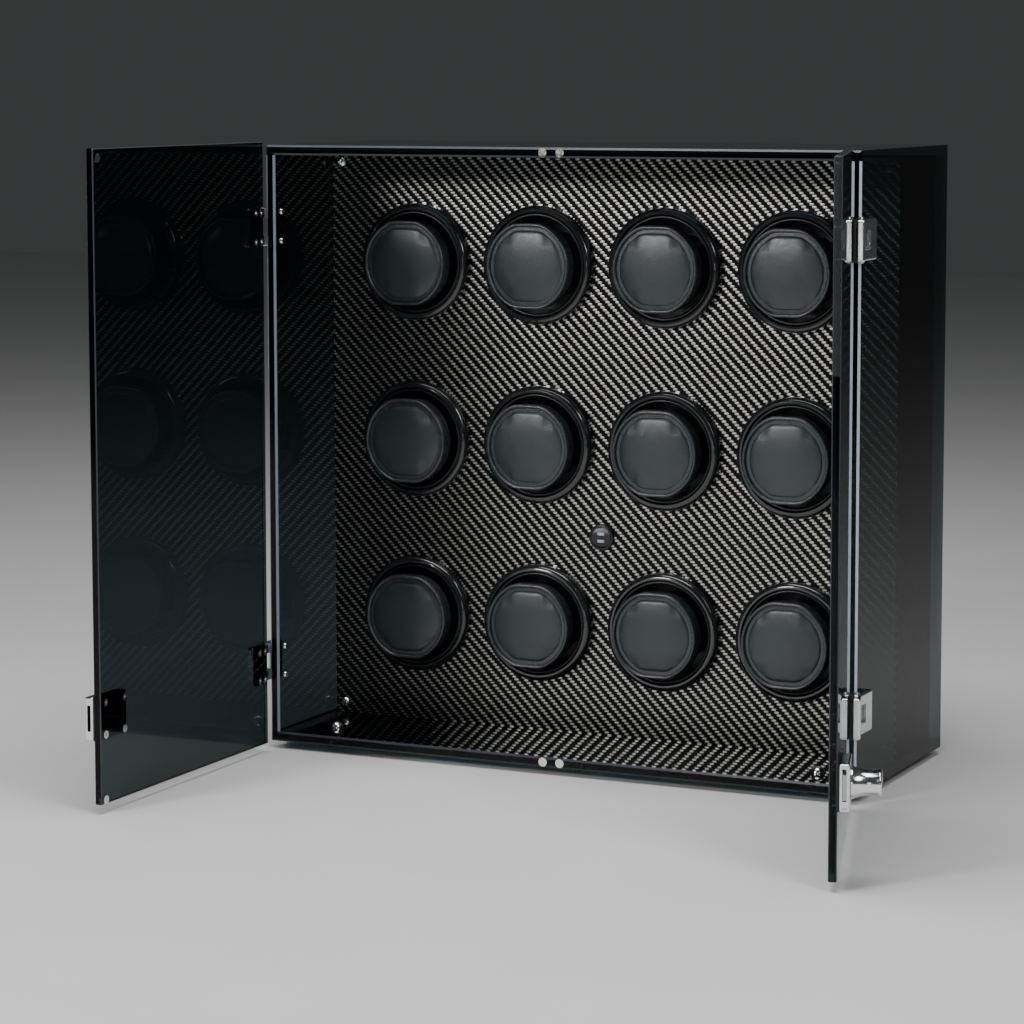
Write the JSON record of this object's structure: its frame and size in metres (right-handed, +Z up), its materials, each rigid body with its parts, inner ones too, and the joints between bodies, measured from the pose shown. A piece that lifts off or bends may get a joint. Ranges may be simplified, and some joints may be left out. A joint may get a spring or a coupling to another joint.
{
  "type": "watch winder box",
  "caption": "Free-standing watch winder cabinet: two hinged smoked doors with a latch knob in front of turning cups with pull-out cushions, driven by gear motors behind a carbon panel.",
  "frame": {"origin": "centre of the shell's footprint, on the surface that the feet stand on", "axes": "+X to the viewer's right when facing the doors, +Y from the doors to the back, +Z up"},
  "size_m": [0.6076, 0.4684, 0.491],
  "materials": {
    "smoked_acrylic": "polished tinted sheet with clear edges",
    "carbon": "twill-weave carbon look under gloss lacquer",
    "gloss_black": "gloss black moulding",
    "satin_black": "fine-grained black sheet",
    "black_aluminium": "black anodised sheet",
    "chrome": "polished chrome",
    "steel": "brushed steel",
    "nickel": "nickel-plated magnet",
    "rubber": "matt rubber",
    "pad": "thin black gasket",
    "leather": "fine-grained dark leather over foam",
    "circuit": "soldered circuit board"
  },
  "bodies": {
    "cabinet": {"top_panel": "smoked_acrylic", "bottom_panel": "smoked_acrylic", "left_wall": "smoked_acrylic", "right_wall": "smoked_acrylic", "carbon_panel": "carbon", "bezel_rings": "gloss_black", "corner_screws": "chrome", "rear_frame": "satin_black", "motor_plate": "black_aluminium", "gear_motors": "steel", "motor_screws": "steel", "circuit_board": "circuit", "power_inlet": "satin_black", "back_cover": "satin_black", "switch_body": "gloss_black", "feet": "rubber", "foot_screws": "chrome", "frame_magnets": "nickel", "wall_hinge_blocks": "chrome", "wall_hinge_screws": "chrome", "hinge_pins": "steel"},
    "left_door": {"left_door_pane": "smoked_acrylic", "left_hinge_blocks": "chrome", "left_door_pads": "pad", "left_door_screws": "chrome", "left_door_magnets": "nickel", "strike_body": "chrome"},
    "right_door": {"right_door_pane": "smoked_acrylic", "right_hinge_blocks": "chrome", "right_door_pads": "pad", "right_door_screws": "chrome", "right_door_magnets": "nickel", "latch_body": "chrome"},
    "latch_knob": {"latch_knob": "chrome"},
    "latch_bolt": {"latch_bolt": "steel"},
    "switch_rocker": {"switch_rocker": "gloss_black"},
    "rotor_row1_col1": {"rotor_cup_row1_col1": "gloss_black"},
    "cushion_row1_col1": {"watch_cushion_row1_col1": "leather"},
    "rotor_row1_col2": {"rotor_cup_row1_col2": "gloss_black"},
    "cushion_row1_col2": {"watch_cushion_row1_col2": "leather"},
    "rotor_row1_col3": {"rotor_cup_row1_col3": "gloss_black"},
    "cushion_row1_col3": {"watch_cushion_row1_col3": "leather"},
    "rotor_row1_col4": {"rotor_cup_row1_col4": "gloss_black"},
    "cushion_row1_col4": {"watch_cushion_row1_col4": "leather"},
    "rotor_row2_col1": {"rotor_cup_row2_col1": "gloss_black"},
    "cushion_row2_col1": {"watch_cushion_row2_col1": "leather"},
    "rotor_row2_col2": {"rotor_cup_row2_col2": "gloss_black"},
    "cushion_row2_col2": {"watch_cushion_row2_col2": "leather"},
    "rotor_row2_col3": {"rotor_cup_row2_col3": "gloss_black"},
    "cushion_row2_col3": {"watch_cushion_row2_col3": "leather"},
    "rotor_row2_col4": {"rotor_cup_row2_col4": "gloss_black"},
    "cushion_row2_col4": {"watch_cushion_row2_col4": "leather"},
    "rotor_row3_col1": {"rotor_cup_row3_col1": "gloss_black"},
    "cushion_row3_col1": {"watch_cushion_row3_col1": "leather"},
    "rotor_row3_col2": {"rotor_cup_row3_col2": "gloss_black"},
    "cushion_row3_col2": {"watch_cushion_row3_col2": "leather"},
    "rotor_row3_col3": {"rotor_cup_row3_col3": "gloss_black"},
    "cushion_row3_col3": {"watch_cushion_row3_col3": "leather"},
    "rotor_row3_col4": {"rotor_cup_row3_col4": "gloss_black"},
    "cushion_row3_col4": {"watch_cushion_row3_col4": "leather"}
  },
  "joints": [
    {"name": "left_door_hinge", "type": "hinge", "parent": "cabinet", "child": "left_door", "pos_m": [-0.25375, -0.11295, 0.247], "axis": [0, 0, -1], "range_deg": [-90, 45]},
    {"name": "right_door_hinge", "type": "hinge", "parent": "cabinet", "child": "right_door", "pos_m": [0.25375, -0.11295, 0.247], "axis": [0, 0, 1], "range_deg": [-107.3, 27.7]},
    {"name": "latch_knob_turn", "type": "hinge", "parent": "right_door", "child": "latch_knob", "pos_m": [0.31276, -0.33756, 0.071], "axis": [0.9548, 0.2974, 0], "range_deg": [0, 90]},
    {"name": "latch_bolt_slide", "type": "slide", "parent": "right_door", "child": "latch_bolt", "axis": [0.2974, -0.9548, 0], "range_m": [0, 0.008]},
    {"name": "rocker_tilt", "type": "hinge", "parent": "cabinet", "child": "switch_rocker", "pos_m": [0, -0.004, 0.1746], "axis": [1, 0, 0], "range_deg": [-10, 10]},
    {"name": "rotor_row1_col1_spin", "type": "hinge", "parent": "cabinet", "child": "rotor_row1_col1", "pos_m": [-0.16455, -0.004, 0.3918], "axis": [0, -1, 0], "continuous": true},
    {"name": "cushion_row1_col1_pull_out", "type": "slide", "parent": "rotor_row1_col1", "child": "cushion_row1_col1", "axis": [0, -1, 0], "range_m": [0, 0.06]},
    {"name": "rotor_row1_col2_spin", "type": "hinge", "parent": "cabinet", "child": "rotor_row1_col2", "pos_m": [-0.05485, -0.004, 0.3918], "axis": [0, -1, 0], "continuous": true},
    {"name": "cushion_row1_col2_pull_out", "type": "slide", "parent": "rotor_row1_col2", "child": "cushion_row1_col2", "axis": [0, -1, 0], "range_m": [0, 0.06]},
    {"name": "rotor_row1_col3_spin", "type": "hinge", "parent": "cabinet", "child": "rotor_row1_col3", "pos_m": [0.05485, -0.004, 0.3918], "axis": [0, -1, 0], "continuous": true},
    {"name": "cushion_row1_col3_pull_out", "type": "slide", "parent": "rotor_row1_col3", "child": "cushion_row1_col3", "axis": [0, -1, 0], "range_m": [0, 0.06]},
    {"name": "rotor_row1_col4_spin", "type": "hinge", "parent": "cabinet", "child": "rotor_row1_col4", "pos_m": [0.16455, -0.004, 0.3918], "axis": [0, -1, 0], "continuous": true},
    {"name": "cushion_row1_col4_pull_out", "type": "slide", "parent": "rotor_row1_col4", "child": "cushion_row1_col4", "axis": [0, -1, 0], "range_m": [0, 0.06]},
    {"name": "rotor_row2_col1_spin", "type": "hinge", "parent": "cabinet", "child": "rotor_row2_col1", "pos_m": [-0.16455, -0.004, 0.247], "axis": [0, -1, 0], "continuous": true},
    {"name": "cushion_row2_col1_pull_out", "type": "slide", "parent": "rotor_row2_col1", "child": "cushion_row2_col1", "axis": [0, -1, 0], "range_m": [0, 0.06]},
    {"name": "rotor_row2_col2_spin", "type": "hinge", "parent": "cabinet", "child": "rotor_row2_col2", "pos_m": [-0.05485, -0.004, 0.247], "axis": [0, -1, 0], "continuous": true},
    {"name": "cushion_row2_col2_pull_out", "type": "slide", "parent": "rotor_row2_col2", "child": "cushion_row2_col2", "axis": [0, -1, 0], "range_m": [0, 0.06]},
    {"name": "rotor_row2_col3_spin", "type": "hinge", "parent": "cabinet", "child": "rotor_row2_col3", "pos_m": [0.05485, -0.004, 0.247], "axis": [0, -1, 0], "continuous": true},
    {"name": "cushion_row2_col3_pull_out", "type": "slide", "parent": "rotor_row2_col3", "child": "cushion_row2_col3", "axis": [0, -1, 0], "range_m": [0, 0.06]},
    {"name": "rotor_row2_col4_spin", "type": "hinge", "parent": "cabinet", "child": "rotor_row2_col4", "pos_m": [0.16455, -0.004, 0.247], "axis": [0, -1, 0], "continuous": true},
    {"name": "cushion_row2_col4_pull_out", "type": "slide", "parent": "rotor_row2_col4", "child": "cushion_row2_col4", "axis": [0, -1, 0], "range_m": [0, 0.06]},
    {"name": "rotor_row3_col1_spin", "type": "hinge", "parent": "cabinet", "child": "rotor_row3_col1", "pos_m": [-0.16455, -0.004, 0.1022], "axis": [0, -1, 0], "continuous": true},
    {"name": "cushion_row3_col1_pull_out", "type": "slide", "parent": "rotor_row3_col1", "child": "cushion_row3_col1", "axis": [0, -1, 0], "range_m": [0, 0.06]},
    {"name": "rotor_row3_col2_spin", "type": "hinge", "parent": "cabinet", "child": "rotor_row3_col2", "pos_m": [-0.05485, -0.004, 0.1022], "axis": [0, -1, 0], "continuous": true},
    {"name": "cushion_row3_col2_pull_out", "type": "slide", "parent": "rotor_row3_col2", "child": "cushion_row3_col2", "axis": [0, -1, 0], "range_m": [0, 0.06]},
    {"name": "rotor_row3_col3_spin", "type": "hinge", "parent": "cabinet", "child": "rotor_row3_col3", "pos_m": [0.05485, -0.004, 0.1022], "axis": [0, -1, 0], "continuous": true},
    {"name": "cushion_row3_col3_pull_out", "type": "slide", "parent": "rotor_row3_col3", "child": "cushion_row3_col3", "axis": [0, -1, 0], "range_m": [0, 0.06]},
    {"name": "rotor_row3_col4_spin", "type": "hinge", "parent": "cabinet", "child": "rotor_row3_col4", "pos_m": [0.16455, -0.004, 0.1022], "axis": [0, -1, 0], "continuous": true},
    {"name": "cushion_row3_col4_pull_out", "type": "slide", "parent": "rotor_row3_col4", "child": "cushion_row3_col4", "axis": [0, -1, 0], "range_m": [0, 0.06]}
  ],
  "couplings": [
    {"joint": "latch_bolt_slide", "follows": "latch_knob_turn", "m_per_rad": 0.005092}
  ]
}
